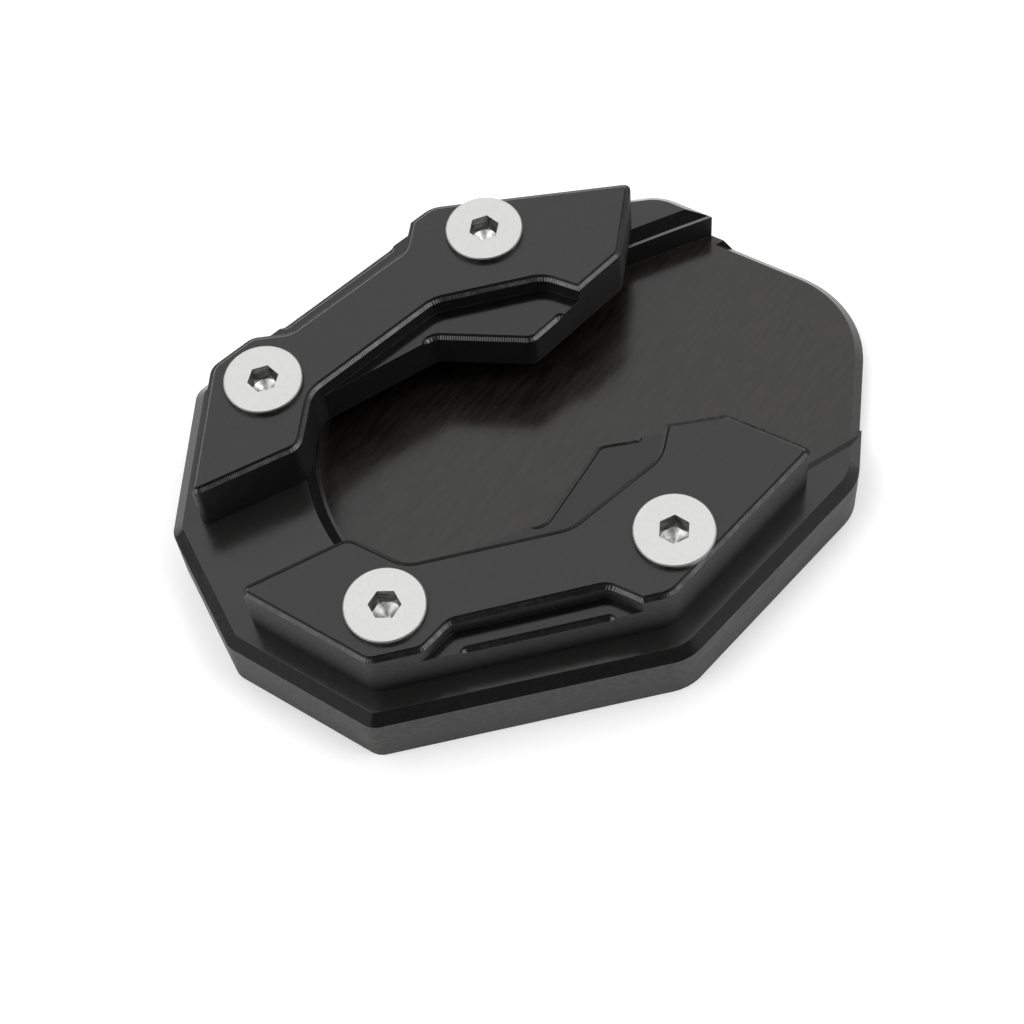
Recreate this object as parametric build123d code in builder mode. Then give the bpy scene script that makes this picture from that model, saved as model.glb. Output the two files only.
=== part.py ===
# Kickstand foot enlarger: a milled base plate with a pocket, two clamps and four countersunk screws.
# Millimetres, +X along the plate towards the open end of the pocket, +Z up, origin under the middle.
import os
from math import atan, cos, degrees, radians, sin, tan

from build123d import *

os.makedirs("parts", exist_ok=True)

# overall sizes
plate_length = 72.0
plate_width = 57.0
base_thick = 7.2
clamp_thick = 6.2
head_proud = 0.6

# plate outline, from the left end to the nose
left_edge_half = 6.95
side_corner_setback = 8.4
side_corner_half = 21.05
wide_corner_x = 1.6
wide_corner_lift = 0.2435
end_corner_setback = 11.0
end_corner_half = 19.87
nose_radius = 10.9
nose_angle = 33.6
left_round = 2.0
wide_round = 5.0
end_round = 5.0
rim_chamfer = 1.05

# pocket for the foot of the stand
floor_thick = 3.0
pocket_left_x = -21.5
pocket_join = (-14.7, 15.35)
pocket_middle = (6.0, 16.05)
pocket_run_out = 4.0
pocket_exit_half = 13.5
pocket_corner_round = 3.0
pocket_ledge = 0.3
tongue_chamfer = 0.9
tongue_chamfer_half = 13.7

# front clamp outline at its walls, the side over the pocket
tip_left = (-33.46, -5.64)
inner_left = (-21.83, -5.53)
inner_deep = (-18.36, -10.68)
inner_bend = (-3.34, -14.51)
inner_rise = (7.36, -11.81)
nib = (9.78, -8.85)
inner_right = (15.44, -10.71)
tip_right = (20.62, -18.07)

# front clamp outline at its walls, the outer side
tail_x = 1.55
recess_right_x = -1.12
recess_far = (-3.21, -21.78)
recess_near = (-17.43, -18.26)
recess_left_x = -20.9
outer_left_x = -25.82
outer_wall_y = -24.97
outer_wall_slope = -0.2571

# clamp corner radii
tip_round = 0.7
inner_left_round = 2.0
deep_round = 3.0
bend_round = 3.5
inner_right_round = 1.2
tail_round = 3.0
outer_recess_round = 2.0
outer_round = 2.0

# clamp shelves
shelf_depth = 2.0
inner_shelf_start = (-19.0, -10.85)
inner_shelf_bend = (-4.69, -11.88)
inner_shelf_tip_x = 3.61
inner_shelf_round = 1.5
shelf_root_y = -16.5
inner_strip_x = (-6.2, 7.9)
inner_strip_y = (-15.0, -4.0)
outer_strip_x = (-17.9, -3.5)
outer_strip_y = (-27.0, -18.0)
strip_round = 0.8

# clamp edge, a small bevel with a hair of wall under it and then a sloping ledge
edge_bevel = 0.19
edge_land = 0.02
ledge_width = 0.38
ledge_drop = 0.2

# screws, four standard M4 countersunk screws with hexagon sockets
screw_radius = 2.0
screw_length = 10.0
left_screw = (-21.98, 14.0)
right_screw = (4.8, 19.75)
head_radius = 3.875
head_land = 0.6
head_edge = 0.12
socket_flats = 2.7
socket_depth = 2.1
socket_point_angle = 118.0
socket_turns = (32.0, 59.0, 49.0, 53.0)
tip_chamfer = 0.4
clearance_gap = 0.25
thread_gap = 0.02
hole_end_gap = 0.6

# heights
base_top = base_thick
rim_low = base_top - rim_chamfer
clamp_top = base_top + clamp_thick
head_top = clamp_top + head_proud
shelf_top = clamp_top - shelf_depth
ledge_top = clamp_top - edge_bevel - edge_land
ledge_taper = degrees(atan(ledge_width / ledge_drop))
strip_width = edge_bevel + ledge_width
cone_depth = head_radius - screw_radius
sink_depth = cone_depth - clearance_gap
screw_tip = head_top - screw_length
point_depth = socket_flats / 2 / tan(radians(socket_point_angle / 2))


def corners(sketch, points):
    # the corner of a sketch nearest to each point
    return [sketch.vertices().sort_by_distance(Vector(*point, 0))[0] for point in points]


def outer_wall(x):
    # a point of the long straight outer wall of the front clamp
    return (x, outer_wall_y + outer_wall_slope * x)


def inner_wall(x):
    # a point of the straight wall between the nib and the right-hand inner corner
    slope = (inner_right[1] - nib[1]) / (inner_right[0] - nib[0])
    return (x, nib[1] + slope * (x - nib[0]))


def pocket_outline(grow):
    # the pocket seen from above, grown by a margin and running out past the nose
    with BuildSketch() as sketch:
        pocket_exit = (plate_length / 2 + pocket_run_out, pocket_exit_half)
        exit_low = (pocket_exit[0], -pocket_exit[1])
        join_low = (pocket_join[0], -pocket_join[1])
        middle_low = (pocket_middle[0], -pocket_middle[1])
        with BuildLine():
            ThreePointArc(join_low, (pocket_left_x, 0), pocket_join)
            ThreePointArc(pocket_join, pocket_middle, pocket_exit)
            Line(pocket_exit, exit_low)
            ThreePointArc(exit_low, middle_low, join_low)
        make_face()
        fillet(corners(sketch, [pocket_join, join_low]), pocket_corner_round)
        if grow > 0:
            offset(amount=grow, kind=Kind.INTERSECTION)
    return sketch.sketch


def plate_outline(shrink):
    # the outside of the plate seen from above, shrunk by a margin
    half_length = plate_length / 2
    nose_start_x = half_length - nose_radius * (1 - cos(radians(nose_angle)))
    wide_corner = (wide_corner_x, plate_width / 2 + wide_corner_lift)
    nose_start = (nose_start_x, nose_radius * sin(radians(nose_angle)))
    left_corner = (-half_length, left_edge_half)
    side_corner = (side_corner_setback - half_length, side_corner_half)
    end_corner = (half_length - end_corner_setback, end_corner_half)
    upper = [left_corner, side_corner, wide_corner, end_corner, nose_start]
    lower = [(x, -y) for x, y in reversed(upper)]
    with BuildSketch() as sketch:
        with BuildLine():
            Polyline(*upper)
            ThreePointArc(nose_start, (half_length, 0), lower[0])
            Polyline(*lower, upper[0])
        make_face()
        for radius, points in (
            (left_round, (upper[0], upper[1], lower[-1], lower[-2])),
            (wide_round, (wide_corner, lower[2])),
            (end_round, (end_corner, lower[1])),
        ):
            fillet(corners(sketch, points), radius)
        if shrink > 0:
            offset(amount=-shrink, kind=Kind.INTERSECTION)
    return sketch.sketch


def upper_outline():
    # the front clamp above its shelves, at the walls
    tail = outer_wall(tail_x)
    recess_right = outer_wall(recess_right_x)
    recess_left = outer_wall(recess_left_x)
    outer_left = outer_wall(outer_left_x)
    inner_side = [tip_left, inner_left, inner_deep, inner_bend, inner_rise, nib, inner_right]
    outer_side = [tip_right, tail, recess_right, recess_far, recess_near, recess_left, outer_left]
    with BuildSketch() as sketch:
        with BuildLine():
            Polyline(*inner_side, *outer_side, close=True)
        make_face()
        for radius, points in (
            (tip_round, (tip_left, tip_right)),
            (inner_left_round, (inner_left,)),
            (deep_round, (inner_deep,)),
            (bend_round, (inner_bend, inner_rise)),
            (inner_right_round, (inner_right,)),
            (tail_round, (tail,)),
            (outer_recess_round, (recess_far, recess_near, recess_left)),
            (outer_round, (outer_left,)),
        ):
            fillet(corners(sketch, points), radius)
    return sketch.sketch


def inner_shelf_outline(shrink):
    # the shelf over the pocket, joined into the clamp along its root
    tip = inner_wall(inner_shelf_tip_x)
    end = inner_wall((nib[0] + inner_right[0]) / 2)
    with BuildSketch() as sketch:
        with BuildLine():
            Polyline(
                inner_shelf_start,
                inner_shelf_bend,
                tip,
                end,
                (end[0], shelf_root_y),
                (inner_shelf_start[0], shelf_root_y),
                close=True,
            )
        make_face()
        fillet(corners(sketch, [inner_shelf_bend, tip]), inner_shelf_round)
        if shrink > 0:
            offset(amount=-shrink, kind=Kind.INTERSECTION)
    return sketch.sketch


def outer_shelf_outline(shrink):
    # the shelf in the outer recess, joined into the clamp along its root
    left = outer_wall((outer_left_x + recess_left_x) / 2)
    right = outer_wall((tail_x + recess_right_x) / 2)
    with BuildSketch() as sketch:
        with BuildLine():
            Polyline(left, right, (right[0], shelf_root_y), (left[0], shelf_root_y), close=True)
        make_face()
        if shrink > 0:
            offset(amount=-shrink, kind=Kind.INTERSECTION)
    return sketch.sketch


def strip_outline(shelf, span_x, span_y):
    # the strip outside a shelf that its edge cutter takes away, with rounded ends
    with BuildSketch() as sketch:
        with Locations(((span_x[0] + span_x[1]) / 2, (span_y[0] + span_y[1]) / 2)):
            Rectangle(span_x[1] - span_x[0], span_y[1] - span_y[0])
        add(shelf, mode=Mode.SUBTRACT)
        inside = [v for v in sketch.vertices() if span_y[0] < round(v.Y, 3) < span_y[1]]
        ends = [v for v in inside if round(v.X, 3) in span_x]
        fillet(ends, strip_round)
    return sketch.sketch


def edge_cutter(shelf, span_x, span_y):
    # what is cut from the outer edge of a shelf, a bevel with a sloping ledge below it
    with BuildPart() as cutter:
        with BuildSketch(Plane.XY.offset(shelf_top)):
            add(strip_outline(shelf, span_x, span_y))
        extrude(amount=-edge_bevel, taper=45)
        extrude(cutter.faces().sort_by(Axis.Z)[0], amount=ledge_drop, taper=ledge_taper)
    return cutter.part


# base plate
with BuildPart() as base_plate:
    add(plate_outline(0))
    extrude(amount=base_top)
    chamfer(base_plate.faces().sort_by(Axis.Z)[-1].edges(), rim_chamfer)
    with BuildSketch(Plane.XY.offset(base_top)):
        add(pocket_outline(pocket_ledge + rim_chamfer))
    extrude(amount=-rim_chamfer, taper=45, mode=Mode.SUBTRACT)
    with BuildSketch(Plane.XY.offset(floor_thick)):
        add(pocket_outline(0))
    extrude(amount=base_top, mode=Mode.SUBTRACT)
    with BuildSketch(Plane.XY.offset(floor_thick)):
        with Locations((plate_length / 2, 0)):
            Rectangle(plate_length / 2, 2 * tongue_chamfer_half)
        add(plate_outline(tongue_chamfer), mode=Mode.SUBTRACT)
    extrude(amount=-tongue_chamfer, taper=45, mode=Mode.SUBTRACT)
    for x, y in (left_screw, right_screw):
        with BuildSketch(Plane.XY.offset(base_top)):
            with Locations((x, y), (x, -y)):
                Circle(screw_radius + thread_gap)
        extrude(amount=screw_tip - hole_end_gap - base_top, mode=Mode.SUBTRACT)
base_plate.part.label = "base_plate"

# front clamp
with BuildPart() as front_clamp:
    with BuildSketch(Plane.XY.offset(base_top)):
        add(inner_shelf_outline(0))
        add(outer_shelf_outline(0))
    extrude(amount=shelf_top - base_top)
    add(edge_cutter(inner_shelf_outline(strip_width), inner_strip_x, inner_strip_y), mode=Mode.SUBTRACT)
    add(edge_cutter(outer_shelf_outline(strip_width), outer_strip_x, outer_strip_y), mode=Mode.SUBTRACT)
    with BuildSketch(Plane.XY.offset(base_top)):
        add(upper_outline())
    extrude(amount=ledge_top - base_top)
    ledge_face = front_clamp.faces().sort_by(Axis.Z)[-1]
    chamfer(ledge_face.edges(), ledge_width, ledge_drop, reference=ledge_face)
    extrude(front_clamp.faces().sort_by(Axis.Z)[-1], amount=clamp_top - ledge_top)
    chamfer(front_clamp.faces().sort_by(Axis.Z)[-1].edges(), edge_bevel)
    for x, y in (left_screw, right_screw):
        with BuildSketch(Plane.XY.offset(base_top)):
            with Locations((x, -y)):
                Circle(screw_radius + clearance_gap)
        extrude(amount=clamp_thick, mode=Mode.SUBTRACT)
        with Locations((x, -y, clamp_top - sink_depth / 2)):
            Cone(screw_radius + clearance_gap, head_radius, sink_depth, mode=Mode.SUBTRACT)
front_clamp.part.label = "front_clamp"

# rear clamp, the mirror image of the front one
with BuildPart() as rear_clamp:
    add(mirror(front_clamp.part, about=Plane.XZ))
rear_clamp.part.label = "rear_clamp"

# screws
screws = []
for name, x, y, turn in (
    ("front_left_screw", left_screw[0], -left_screw[1], socket_turns[0]),
    ("front_right_screw", right_screw[0], -right_screw[1], socket_turns[1]),
    ("rear_left_screw", left_screw[0], left_screw[1], socket_turns[2]),
    ("rear_right_screw", right_screw[0], right_screw[1], socket_turns[3]),
):
    with BuildPart() as screw:
        with BuildSketch(Plane.XY.offset(head_top)):
            with Locations((x, y)):
                Circle(head_radius)
        extrude(amount=-head_land)
        with Locations((x, y, clamp_top - cone_depth / 2)):
            Cone(screw_radius, head_radius, cone_depth)
        with BuildSketch(Plane.XY.offset(screw_tip)):
            with Locations((x, y)):
                Circle(screw_radius)
        extrude(amount=screw_length - head_land - cone_depth)
        chamfer(screw.faces().sort_by(Axis.Z)[-1].edges(), head_edge)
        chamfer(screw.faces().sort_by(Axis.Z)[0].edges(), tip_chamfer)
        with BuildSketch(Plane.XY.offset(head_top)):
            with Locations((x, y)):
                RegularPolygon(socket_flats / 2, 6, major_radius=False, rotation=turn)
        extrude(amount=-socket_depth, mode=Mode.SUBTRACT)
        with Locations((x, y, head_top - socket_depth - point_depth / 2)):
            Cone(0, socket_flats / 2, point_depth, mode=Mode.SUBTRACT)
    screw.part.label = name
    screws.append(screw.part)

for solid in (base_plate.part, front_clamp.part, rear_clamp.part, *screws):
    export_step(solid, f"parts/{solid.label}.step")
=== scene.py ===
"""Dresses the foot enlarger in anodised aluminium and stainless steel, and lights it in a pale studio."""

import math

import bpy
from mathutils import Matrix, Vector


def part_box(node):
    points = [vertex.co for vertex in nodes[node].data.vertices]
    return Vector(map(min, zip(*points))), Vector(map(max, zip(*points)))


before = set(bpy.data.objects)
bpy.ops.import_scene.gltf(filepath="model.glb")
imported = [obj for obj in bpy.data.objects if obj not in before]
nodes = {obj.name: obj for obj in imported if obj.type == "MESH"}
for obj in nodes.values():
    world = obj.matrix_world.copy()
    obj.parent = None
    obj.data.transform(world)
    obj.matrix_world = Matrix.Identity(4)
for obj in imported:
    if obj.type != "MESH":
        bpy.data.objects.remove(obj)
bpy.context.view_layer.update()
mm = 0.001

# heights of the faces that look different
shelf_depth = 2.0 * mm
rim_depth = 1.05 * mm
pocket_floor = 3.0 * mm
socket_shade_depth = 0.75 * mm
head_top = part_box("front_left_screw")[1][2]
plate_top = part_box("base_plate")[1][2]
clamp_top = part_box("front_clamp")[1][2]
shelf_top = clamp_top - shelf_depth
pocket_rim = plate_top - rim_depth
low_reach = pocket_floor + 0.2 * mm
socket_shade = head_top - socket_shade_depth

# how near a height or a tilt has to be, where a tilt is how far the normal points up
near_height = 0.05 * mm
near_tilt = 0.05
level_tilt = 0.99
wall_tilt = 0.3

# the sloping ledge round the clamps, and the pitch of the cutter marks on it
ledge_width = 0.38
ledge_drop = 0.2
ledge_tilt = math.cos(math.atan(ledge_drop / ledge_width))
tooth_pitch = 0.23 * mm

# the faint mill lines, by their direction from +X towards +Y and how far they are drawn out
mill_angle = math.radians(24)
mill_stretch = (0.12, 1.0, 1.0)

# noise scales, per metre
grain_scale = 9000.0
mill_scale = 2600.0
speckle_scale = 2200.0
uneven_scale = 1400.0
wear_and_highlight_scale = 700.0
scratch_scale = 160.0
cloud_scale = 90.0
steel_speck_scale = 3200.0
steel_cloud_scale = 260.0
steel_streak_scale = 5000.0
steel_swirl_scale = 1500.0

# radii of the rounded edges
wear_and_highlight_radius = 0.10 * mm
black_edge_radius = 0.03 * mm
steel_edge_radius = 0.06 * mm
bevel_samples = 6

# the stretch along the rear side of the pocket's rim that is painted bright, a painted highlight
highlight_from = -8 * mm
highlight_to = 14 * mm


class Tree:
    """Adds shader nodes to one node tree and links them as they are made."""

    def __init__(self, tree):
        self.tree = tree
        tree.nodes.clear()

    def node(self, kind, values=None, **settings):
        made = self.tree.nodes.new(kind)
        for name, value in settings.items():
            setattr(made, name, value)
        for key, value in (values or {}).items():
            socket = made.inputs[key]
            if isinstance(value, bpy.types.NodeSocket):
                self.tree.links.new(value, socket)
            else:
                socket.default_value = value
        return made

    def math(self, operation, *values):
        made = self.node("ShaderNodeMath", dict(enumerate(values)), operation=operation)
        return made.outputs[0]

    def times(self, first, second):
        return self.math("MULTIPLY", first, second)

    def plus(self, first, second):
        return self.math("ADD", first, second)

    def minus(self, first, second):
        return self.math("SUBTRACT", first, second)

    def below(self, value, limit):
        return self.math("LESS_THAN", value, limit)

    def near(self, value, target, margin):
        return self.below(self.math("ABSOLUTE", self.minus(value, target)), margin)

    def vector(self, operation, *values):
        made = self.node("ShaderNodeVectorMath", dict(enumerate(values)), operation=operation)
        return made.outputs["Value" if operation == "DOT_PRODUCT" else "Vector"]

    def axis(self, vector, index):
        return self.node("ShaderNodeSeparateXYZ", {0: vector}).outputs[index]

    def smooth(self, value, low, high, to_low=0.0, to_high=1.0):
        values = {"Value": value, "From Min": low, "From Max": high, "To Min": to_low, "To Max": to_high}
        made = self.node("ShaderNodeMapRange", values, interpolation_type="SMOOTHSTEP")
        return made.outputs[0]

    def mix(self, factor, first, second):
        made = self.node("ShaderNodeMix", {0: factor, 6: first, 7: second}, data_type="RGBA")
        return made.outputs[2]

    def blend(self, factor, first, second):
        made = self.node("ShaderNodeMix", {0: factor, 2: first, 3: second}, data_type="FLOAT")
        return made.outputs[0]

    def noise(self, place, scale, detail=3.0, rough=0.55):
        values = {"Vector": place, "Scale": scale, "Detail": detail, "Roughness": rough}
        return self.node("ShaderNodeTexNoise", values).outputs[0]

    def rounded(self, radius):
        return self.node("ShaderNodeBevel", {"Radius": radius}, samples=bevel_samples).outputs[0]

    def bump(self, strength, distance, height, normal):
        values = {"Strength": strength, "Distance": distance, "Height": height, "Normal": normal}
        return self.node("ShaderNodeBump", values).outputs[0]

    def surface(self, values):
        shader = self.node("ShaderNodeBsdfPrincipled", values)
        self.node("ShaderNodeOutputMaterial", {"Surface": shader.outputs[0]})


def grey(level, warm=0.0):
    return (level * (1 + warm), level, level * (1 - warm), 1.0)


# bands of noise that are stretched to a full range
wide_band = (0.3, 0.7)
narrow_band = (0.35, 0.65)
speckle_band = (0.35, 0.70)
patch_band = (0.42, 0.58)
wear_and_highlight_band = (0.40, 0.62)
steel_speck_band = (0.25, 0.8)

# shades of the black surfaces where they differ from the rest, with painted shade on the shelves and painted
# highlights on the worn edges and the pocket's rear rim
top_shade = grey(0.012, 0.04)
# the shelves are painted darker, a painted shade where the clamp's wall shades them
shelf_painted_shade = grey(0.0015)
# the lighter edge colour is wear and also a painted highlight along the edges
edge_wear_and_highlight_colour = grey(0.03, 0.02)
scratch_shade = grey(0.016, 0.01)
# the pocket's rear rim is painted bright, a painted highlight
rim_painted_highlight = grey(0.11)
top_share = 0.8
edge_wear_and_highlight_share = 0.7
speckle_share = 0.5

# worn edges lightened as wear and as a painted highlight, by how far the rounded normal leaves the true one,
# and the least wear and highlight between the patches
sharp_band = (0.002, 0.05)
least_wear_and_highlight = 0.25

# roughness of the black surfaces, from the smoothest to the roughest
shelf_rough = (0.13, 0.17)
ledge_rough = (0.13, 0.19)
wall_rough = (0.50, 0.62)
satin_spread = (-0.04, 0.02)
speckle_rough = 0.06
oxide_ior = 1.52

# relief of the black surfaces, the weight of each pattern and then the strength and depth of them all
grain_relief = 0.6
line_relief = 0.58
tooth_relief = 2.6
shelf_calm = 0.8
black_relief = (0.55, 0.006 * mm)

# the steel on a screw's face, where it stands upright with painted shade and inside the socket, then its
# relief
face_bright = (0.55, 0.59)
upright_shaded_bright = (0.13, 0.36)
bottom_bright = (0.52, 0.82)
steel_rough = (0.38, 0.43)
steel_blue = 0.985
streak_stretch = (0.2, 0.2, 1.0)
steel_relief = (0.25, 0.004 * mm)


def new_material(name):
    """A material with an empty node tree, its Tree, and each point's place, normal, height and tilt."""
    material = bpy.data.materials.new(name)
    material.use_nodes = True
    t = Tree(material.node_tree)
    place = t.node("ShaderNodeTexCoord").outputs["Object"]
    normal = t.node("ShaderNodeNewGeometry").outputs["True Normal"]
    return material, t, place, normal, t.axis(place, 2), t.axis(normal, 2)


def anodised(name, tone_low, tone_high, satin):
    """Black anodised aluminium: satin on top, glossier on the shelves, cutter marks on the sloping ledges."""
    material, t, place, normal, height, tilt = new_material(name)

    # the ledges are found by their tilt, the shelves and the pocket's rim by their height,
    # and what is low down is the pocket's floor and the foot of the plate's sides
    ledge = t.near(tilt, ledge_tilt, near_tilt)
    level = t.math("GREATER_THAN", tilt, level_tilt)
    wall = t.below(t.math("ABSOLUTE", tilt), wall_tilt)
    shelf = t.times(level, t.near(height, shelf_top, near_height))
    low_down = t.below(height, low_reach)
    on_top = t.times(level, t.near(height, plate_top, near_height))
    rear_side = t.math("GREATER_THAN", t.axis(place, 1), 0.0)
    # the rear stretch of the pocket's rim gets a painted highlight
    rim_highlight_stretch = t.times(t.smooth(t.axis(place, 0), highlight_from, highlight_to), rear_side)
    rim_highlight = t.times(t.times(level, t.near(height, pocket_rim, near_height)), rim_highlight_stretch)

    # cutter marks across the ledges, along each edge's own direction
    along = t.vector("NORMALIZE", t.vector("CROSS_PRODUCT", (0.0, 0.0, 1.0), normal))
    travel = t.vector("DOT_PRODUCT", place, along)
    wave = t.math("SINE", t.times(travel, 2 * math.pi / tooth_pitch))
    uneven = t.noise(place, uneven_scale, 2.0)
    teeth = t.times(t.times(wave, ledge), uneven)
    patches = t.smooth(t.noise(place, scratch_scale, 2.0), *patch_band)
    scratch = t.times(t.times(t.smooth(wave, 0.0, 0.9), ledge), patches)

    # worn sharp edges lightened as wear and as a painted highlight, found where a rounded normal leaves the
    # true one
    sharp = t.minus(1.0, t.vector("DOT_PRODUCT", t.rounded(wear_and_highlight_radius), normal))
    wear_and_highlight_patches = t.smooth(t.noise(place, wear_and_highlight_scale, 4.0, 0.7), *wear_and_highlight_band, least_wear_and_highlight, 1.0)
    edge_wear_and_highlight = t.times(t.smooth(sharp, *sharp_band), wear_and_highlight_patches)
    edge_wear_and_highlight = t.times(edge_wear_and_highlight, t.plus(level, wall))

    # fine blasted grain, faint diagonal mill lines, a few soft clouds and speckle
    grain = t.noise(place, grain_scale, 2.0, 0.6)
    turned = t.node("ShaderNodeVectorRotate", {"Vector": place, "Angle": -mill_angle}, rotation_type="Z_AXIS")
    drawn_out = t.node("ShaderNodeMapping", {"Vector": turned.outputs[0], "Scale": mill_stretch})
    lines = t.noise(drawn_out.outputs[0], mill_scale, 3.0, 0.6)
    clouds = t.noise(place, cloud_scale, 4.0, 0.6)
    speckle = t.smooth(t.noise(place, speckle_scale, 4.0, 0.75), *speckle_band)

    # colour, from the whole surface to the places that differ
    tone = t.mix(clouds, grey(tone_low), grey(tone_high, 0.03))
    tone = t.mix(t.times(speckle, speckle_share), tone, grey(1.8 * tone_high, 0.06))
    dark_line = grey(0.7 * tone_high, 0.10)
    light_line = grey(1.5 * tone_high, 0.14)
    drawn = t.mix(t.smooth(lines, *narrow_band), dark_line, light_line)
    colour = t.mix(low_down, tone, drawn)
    for share, there in (
        (t.times(on_top, top_share), top_shade),
        # painted shade on the shelves
        (shelf, shelf_painted_shade),
        # lighter worn edges, partly a painted highlight
        (t.times(edge_wear_and_highlight, edge_wear_and_highlight_share), edge_wear_and_highlight_colour),
        (scratch, scratch_shade),
        # painted highlight on the pocket's rear rim
        (rim_highlight, rim_painted_highlight),
    ):
        colour = t.mix(share, colour, there)

    # roughness, in the same way
    satin_range = (satin + satin_spread[0], satin + satin_spread[1])
    rough = t.plus(t.smooth(clouds, *wide_band, *satin_range), t.times(speckle, speckle_rough))
    for share, pattern, span in (
        (shelf, clouds, shelf_rough),
        (ledge, uneven, ledge_rough),
        (wall, lines, wall_rough),
    ):
        rough = t.blend(share, rough, t.smooth(pattern, *wide_band, *span))

    # relief, fainter on the shelves and deepest on the ledges
    marks = t.plus(t.times(grain, grain_relief), t.times(lines, line_relief))
    marks = t.times(marks, t.minus(1.0, t.times(shelf, shelf_calm)))
    marks = t.plus(marks, t.times(teeth, tooth_relief))
    relief = t.bump(*black_relief, marks, t.rounded(black_edge_radius))
    t.surface({"Base Color": colour, "Roughness": rough, "IOR": oxide_ior, "Normal": relief})
    return material


def stainless(name):
    """Fine matt stainless steel, streaked and darkened with painted shade where upright, and mottled inside
    the socket.
    """
    material, t, place, normal, height, tilt = new_material(name)
    specks = t.noise(place, steel_speck_scale, 3.0, 0.6)
    clouds = t.noise(place, steel_cloud_scale, 3.0, 0.5)
    upright = t.below(t.math("ABSOLUTE", tilt), wall_tilt)
    inside = t.below(height, socket_shade)
    stretched = t.node("ShaderNodeMapping", {"Vector": place, "Scale": streak_stretch}).outputs[0]
    # streaks on the upright walls of the socket and the head, painted darker as a painted shade
    streaks_with_painted_shade = t.smooth(t.noise(stretched, steel_streak_scale, 2.0), *narrow_band, *upright_shaded_bright)
    swirl = t.smooth(t.noise(place, steel_swirl_scale, 2.0), *narrow_band, *bottom_bright)
    bright = t.smooth(specks, *steel_speck_band, *face_bright)
    bright = t.blend(inside, bright, swirl)
    bright = t.blend(upright, bright, streaks_with_painted_shade)
    channels = {0: bright, 1: bright, 2: t.times(bright, steel_blue)}
    colour = t.node("ShaderNodeCombineColor", channels).outputs[0]
    rough = t.smooth(clouds, *wide_band, *steel_rough)
    relief = t.bump(*steel_relief, specks, t.rounded(steel_edge_radius))
    t.surface({"Base Color": colour, "Metallic": 1.0, "Roughness": rough, "Normal": relief})
    return material


def dress(node, material):
    for slot in nodes[node].material_slots:
        slot.material = material


plate_black = anodised("plate_black_finish", tone_low=0.006, tone_high=0.009, satin=0.175)
clamp_black = anodised("clamp_black_finish", tone_low=0.004, tone_high=0.006, satin=0.26)
screw_steel = stainless("screw_steel_finish")
dress("base_plate", plate_black)
for side in ("front", "rear"):
    dress(side + "_clamp", clamp_black)
    dress(side + "_left_screw", screw_steel)
    dress(side + "_right_screw", screw_steel)

# the pale floor, a hair below the plate
floor_half = 3.0
floor_drop = 0.02 * mm
floor_corners = [(x * floor_half, y * floor_half, 0) for x, y in ((-1, -1), (1, -1), (1, 1), (-1, 1))]
floor_mesh = bpy.data.meshes.new("floor")
floor_mesh.from_pydata(floor_corners, [], [(0, 1, 2, 3)])
floor = bpy.data.objects.new("floor", floor_mesh)
bpy.context.scene.collection.objects.link(floor)
floor.location.z = -floor_drop
floor_white = bpy.data.materials.new("floor_white")
floor_white.use_nodes = True
floor_look = {
    "Base Color": grey(0.85),
    "Roughness": 0.9,
    "Specular IOR Level": 0.1,
    "Emission Color": grey(1.0),
    "Emission Strength": 0.3,
}
Tree(floor_white.node_tree).surface(floor_look)
floor_mesh.materials.append(floor_white)


def glow(t, way, toward, inner, outer, strength):
    """Light from one direction, full inside the inner angle and gone at the outer one, in degrees."""
    aim = Vector(toward).normalized()
    near = t.vector("DOT_PRODUCT", way, tuple(aim))
    return t.smooth(near, math.cos(math.radians(outer)), math.cos(math.radians(inner)), 0.0, strength)


# the studio: a dim room, a wide ceiling above and behind, two panels overhead and a faint low glow each end
room_light = 0.04
ceiling_glow = ((0.10, 0.75, 0.85), 45, 68, 1.25)
panel_glows = (
    ((0.44, -0.29, 0.85), 9, 17, 4.0),
    ((-0.50, 0.0, 0.86), 10, 19, 2.9),
    ((0.85, -0.45, 0.28), 22, 34, 0.42),
    ((-0.95, -0.10, 0.35), 22, 36, 0.4),
)
world = bpy.data.worlds.new("studio")
bpy.context.scene.world = world
world.use_nodes = True
studio = Tree(world.node_tree)
way = studio.node("ShaderNodeTexCoord").outputs["Generated"]
rise = studio.axis(way, 2)
low_sky = studio.smooth(rise, 0.06, 0.34, 0.06, 0.85)
high_sky = studio.smooth(rise, 0.34, 0.65, 0.0, 0.15)
clear = studio.plus(low_sky, high_sky)
light = studio.plus(studio.times(glow(studio, way, *ceiling_glow), clear), room_light)
for panel in panel_glows:
    light = studio.plus(light, glow(studio, way, *panel))
shade = studio.node("ShaderNodeBackground", {"Color": grey(1.0), "Strength": light})
studio.node("ShaderNodeOutputWorld", {"Surface": shade.outputs[0]})

# the camera, solved from the object's edges in the photograph
azimuth = math.radians(20.441)
elevation = math.radians(59.955)
roll = math.radians(-7.196)
camera_place = Vector((-42.971, -106.39, 189.912)) * mm
camera_data = bpy.data.cameras.new("camera")
camera_data.lens = 77.172
camera_data.sensor_width = 36.0
camera_data.clip_start = 0.005
camera_data.clip_end = 20.0
camera_data.shift_x = -0.0008
camera_data.shift_y = 0.0007
camera = bpy.data.objects.new("camera", camera_data)
bpy.context.scene.collection.objects.link(camera)
flat = math.cos(elevation)
ahead = Vector((math.sin(azimuth) * flat, math.cos(azimuth) * flat, -math.sin(elevation)))
sideways = Vector((math.cos(azimuth), -math.sin(azimuth), 0.0))
above = sideways.cross(ahead)
right = math.cos(roll) * sideways + math.sin(roll) * above
up = -math.sin(roll) * sideways + math.cos(roll) * above
turn = Matrix((right, up, -ahead)).transposed().to_4x4()
camera.matrix_world = Matrix.Translation(camera_place) @ turn
bpy.context.scene.camera = camera
bpy.context.scene.view_settings.view_transform = "Standard"
